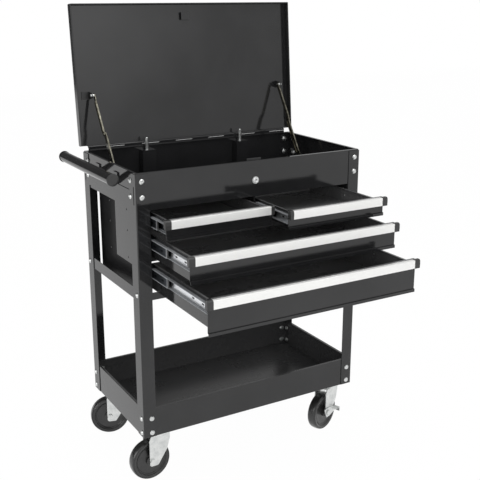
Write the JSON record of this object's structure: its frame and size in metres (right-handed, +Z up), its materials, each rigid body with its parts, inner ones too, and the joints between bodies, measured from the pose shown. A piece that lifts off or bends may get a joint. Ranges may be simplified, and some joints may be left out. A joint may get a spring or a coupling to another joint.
{
  "type": "rolling tool chest",
  "caption": "Rolling steel tool cart with a lidded top box, sliding drawers, a deep bottom tray, a side handle and swivel casters.",
  "frame": {"origin": "middle of the floor area that the object covers as stored, lid up and drawers part open, at floor level", "axes": "+Z up, +X to the right seen from the drawers, +Y to the back"},
  "size_m": [0.8454, 0.8004, 1.4006],
  "materials": {
    "black_paint": "semi-gloss",
    "zinc_steel": "satin",
    "stay_zinc": "satin",
    "aluminium": "satin",
    "black_plastic": "matte",
    "wheel_rubber": "matte"
  },
  "bodies": {
    "frame": {"post_front_left": "black_paint", "post_front_right": "black_paint", "post_rear_left": "black_paint", "post_rear_right": "black_paint", "top_box": "black_paint", "side_panels": "black_paint", "side_rails": "black_paint", "front_rail": "black_paint", "drawer_housing": "black_paint", "centre_divider": "black_paint", "bottom_tray": "black_paint", "handle_tube": "black_paint", "handle_plugs": "black_plastic", "handle_brackets": "black_paint", "frame_bolts": "zinc_steel", "hinge_box_leaf": "black_paint", "box_brackets": "black_paint", "lock_housing": "zinc_steel", "slide_cabinet": "zinc_steel", "caster_plates": "zinc_steel"},
    "lid": {"lid_panel": "black_paint", "hinge_lid_leaf": "black_paint", "lid_brackets": "zinc_steel"},
    "stay_upper_left": {"stay_upper_left": "stay_zinc"},
    "stay_lower_left": {"stay_lower_left": "stay_zinc"},
    "lock_rod_left": {"lock_rod_left": "zinc_steel"},
    "stay_upper_right": {"stay_upper_right": "stay_zinc"},
    "stay_lower_right": {"stay_lower_right": "stay_zinc"},
    "lock_rod_right": {"lock_rod_right": "zinc_steel"},
    "key": {"lock_barrel": "zinc_steel"},
    "drawer_top_left": {"drawer_box_top_left": "black_paint", "drawer_pull_top_left": "aluminium", "drawer_caps_top_left": "black_plastic", "slide_runner_top_left": "zinc_steel"},
    "middle_member_top_left": {"slide_middle_top_left": "zinc_steel"},
    "drawer_top_right": {"drawer_box_top_right": "black_paint", "drawer_pull_top_right": "aluminium", "drawer_caps_top_right": "black_plastic", "slide_runner_top_right": "zinc_steel"},
    "middle_member_top_right": {"slide_middle_top_right": "zinc_steel"},
    "drawer_middle": {"drawer_box_middle": "black_paint", "drawer_pull_middle": "aluminium", "drawer_caps_middle": "black_plastic", "slide_runner_middle": "zinc_steel"},
    "middle_member_middle": {"slide_middle_middle": "zinc_steel"},
    "drawer_bottom": {"drawer_box_bottom": "black_paint", "drawer_pull_bottom": "aluminium", "drawer_caps_bottom": "black_plastic", "slide_runner_bottom": "zinc_steel"},
    "middle_member_bottom": {"slide_middle_bottom": "zinc_steel"},
    "caster_front_left": {"caster_fork_front_left": "zinc_steel"},
    "wheel_front_left": {"caster_wheel_front_left": "wheel_rubber"},
    "caster_front_right": {"caster_fork_front_right": "zinc_steel"},
    "wheel_front_right": {"caster_wheel_front_right": "wheel_rubber"},
    "brake_front_right": {"caster_brake_front_right": "zinc_steel"},
    "caster_rear_left": {"caster_fork_rear_left": "zinc_steel"},
    "wheel_rear_left": {"caster_wheel_rear_left": "wheel_rubber"},
    "caster_rear_right": {"caster_fork_rear_right": "zinc_steel"},
    "wheel_rear_right": {"caster_wheel_rear_right": "wheel_rubber"},
    "brake_rear_right": {"caster_brake_rear_right": "zinc_steel"}
  },
  "joints": [
    {"name": "lid_hinge", "type": "hinge", "parent": "frame", "child": "lid", "pos_m": [0.03475, 0.35288, 0.97], "axis": [1, 0, 0], "range_deg": [0, 94.7]},
    {"name": "stay_upper_left_pivot", "type": "hinge", "parent": "lid", "child": "stay_upper_left", "pos_m": [-0.29925, 0.35239, 1.12757], "axis": [1, 0, 0], "range_deg": [-142.36, 0]},
    {"name": "stay_lower_left_pivot", "type": "hinge", "parent": "frame", "child": "stay_lower_left", "pos_m": [-0.29925, 0.20408, 0.8986], "axis": [1, 0, 0], "range_deg": [0, 108.08]},
    {"name": "lock_rod_left_slide", "type": "slide", "parent": "frame", "child": "lock_rod_left", "axis": [0, 0, 1], "range_m": [-0.0102, 0], "stiffness_N_per_m": 150, "springref_m": 0.02},
    {"name": "stay_upper_right_pivot", "type": "hinge", "parent": "lid", "child": "stay_upper_right", "pos_m": [0.36875, 0.35239, 1.12757], "axis": [1, 0, 0], "range_deg": [-142.36, 0]},
    {"name": "stay_lower_right_pivot", "type": "hinge", "parent": "frame", "child": "stay_lower_right", "pos_m": [0.36875, 0.20408, 0.8986], "axis": [1, 0, 0], "range_deg": [0, 108.08]},
    {"name": "lock_rod_right_slide", "type": "slide", "parent": "frame", "child": "lock_rod_right", "axis": [0, 0, 1], "range_m": [-0.0102, 0], "stiffness_N_per_m": 150, "springref_m": 0.02},
    {"name": "key_turn", "type": "hinge", "parent": "frame", "child": "key", "pos_m": [0.03475, -0.05662, 0.903], "axis": [0, 1, 0], "range_deg": [0, 90]},
    {"name": "drawer_top_left_slide", "type": "slide", "parent": "frame", "child": "drawer_top_left", "axis": [0, -1, 0], "range_m": [-0.098, 0.252]},
    {"name": "middle_member_top_left_slide", "type": "slide", "parent": "frame", "child": "middle_member_top_left", "axis": [0, -1, 0], "range_m": [-0.049, 0.126]},
    {"name": "drawer_top_right_slide", "type": "slide", "parent": "frame", "child": "drawer_top_right", "axis": [0, -1, 0], "range_m": [-0.175, 0.175]},
    {"name": "middle_member_top_right_slide", "type": "slide", "parent": "frame", "child": "middle_member_top_right", "axis": [0, -1, 0], "range_m": [-0.0875, 0.0875]},
    {"name": "drawer_middle_slide", "type": "slide", "parent": "frame", "child": "drawer_middle", "axis": [0, -1, 0], "range_m": [-0.235, 0.115]},
    {"name": "middle_member_middle_slide", "type": "slide", "parent": "frame", "child": "middle_member_middle", "axis": [0, -1, 0], "range_m": [-0.1175, 0.0575]},
    {"name": "drawer_bottom_slide", "type": "slide", "parent": "frame", "child": "drawer_bottom", "axis": [0, -1, 0], "range_m": [-0.331, 0.019]},
    {"name": "middle_member_bottom_slide", "type": "slide", "parent": "frame", "child": "middle_member_bottom", "axis": [0, -1, 0], "range_m": [-0.1655, 0.0095]},
    {"name": "caster_front_left_swivel", "type": "hinge", "parent": "frame", "child": "caster_front_left", "pos_m": [-0.28225, -0.01262, 0.159], "axis": [0, 0, 1], "continuous": true},
    {"name": "wheel_front_left_roll", "type": "hinge", "parent": "caster_front_left", "child": "wheel_front_left", "pos_m": [-0.31373, -0.01372, 0.0635], "axis": [-0.0349, 0.9994, 0], "continuous": true},
    {"name": "caster_front_right_swivel", "type": "hinge", "parent": "frame", "child": "caster_front_right", "pos_m": [0.35175, -0.01262, 0.159], "axis": [0, 0, 1], "continuous": true},
    {"name": "wheel_front_right_roll", "type": "hinge", "parent": "caster_front_right", "child": "wheel_front_right", "pos_m": [0.32228, -0.02376, 0.0635], "axis": [-0.3535, 0.9354, 0], "continuous": true},
    {"name": "brake_front_right_press", "type": "hinge", "parent": "caster_front_right", "child": "brake_front_right", "pos_m": [0.32228, -0.02376, 0.0635], "axis": [-0.3535, 0.9354, 0], "range_deg": [-18, 18]},
    {"name": "caster_rear_left_swivel", "type": "hinge", "parent": "frame", "child": "caster_rear_left", "pos_m": [-0.28225, 0.30538, 0.159], "axis": [0, 0, 1], "continuous": true},
    {"name": "wheel_rear_left_roll", "type": "hinge", "parent": "caster_rear_left", "child": "wheel_rear_left", "pos_m": [-0.31237, 0.31459, 0.0635], "axis": [0.2924, 0.9563, 0], "continuous": true},
    {"name": "caster_rear_right_swivel", "type": "hinge", "parent": "frame", "child": "caster_rear_right", "pos_m": [0.35175, 0.30538, 0.159], "axis": [0, 0, 1], "continuous": true},
    {"name": "wheel_rear_right_roll", "type": "hinge", "parent": "caster_rear_right", "child": "wheel_rear_right", "pos_m": [0.32094, 0.31193, 0.0635], "axis": [0.2079, 0.9781, 0], "continuous": true},
    {"name": "brake_rear_right_press", "type": "hinge", "parent": "caster_rear_right", "child": "brake_rear_right", "pos_m": [0.32094, 0.31193, 0.0635], "axis": [0.2079, 0.9781, 0], "range_deg": [-18, 18]}
  ],
  "couplings": [
    {"joint": "stay_upper_left_pivot", "follows": "lid_hinge", "ratio": -1.5027},
    {"joint": "stay_lower_left_pivot", "follows": "lid_hinge", "ratio": 1.1408},
    {"joint": "lock_rod_left_slide", "follows": "lid_hinge", "m_per_rad": -0.00605},
    {"joint": "stay_upper_right_pivot", "follows": "lid_hinge", "ratio": -1.5027},
    {"joint": "stay_lower_right_pivot", "follows": "lid_hinge", "ratio": 1.1408},
    {"joint": "lock_rod_right_slide", "follows": "lid_hinge", "m_per_rad": -0.00605},
    {"joint": "middle_member_top_left_slide", "follows": "drawer_top_left_slide", "ratio": 0.5},
    {"joint": "middle_member_top_right_slide", "follows": "drawer_top_right_slide", "ratio": 0.5},
    {"joint": "middle_member_middle_slide", "follows": "drawer_middle_slide", "ratio": 0.5},
    {"joint": "middle_member_bottom_slide", "follows": "drawer_bottom_slide", "ratio": 0.5}
  ]
}
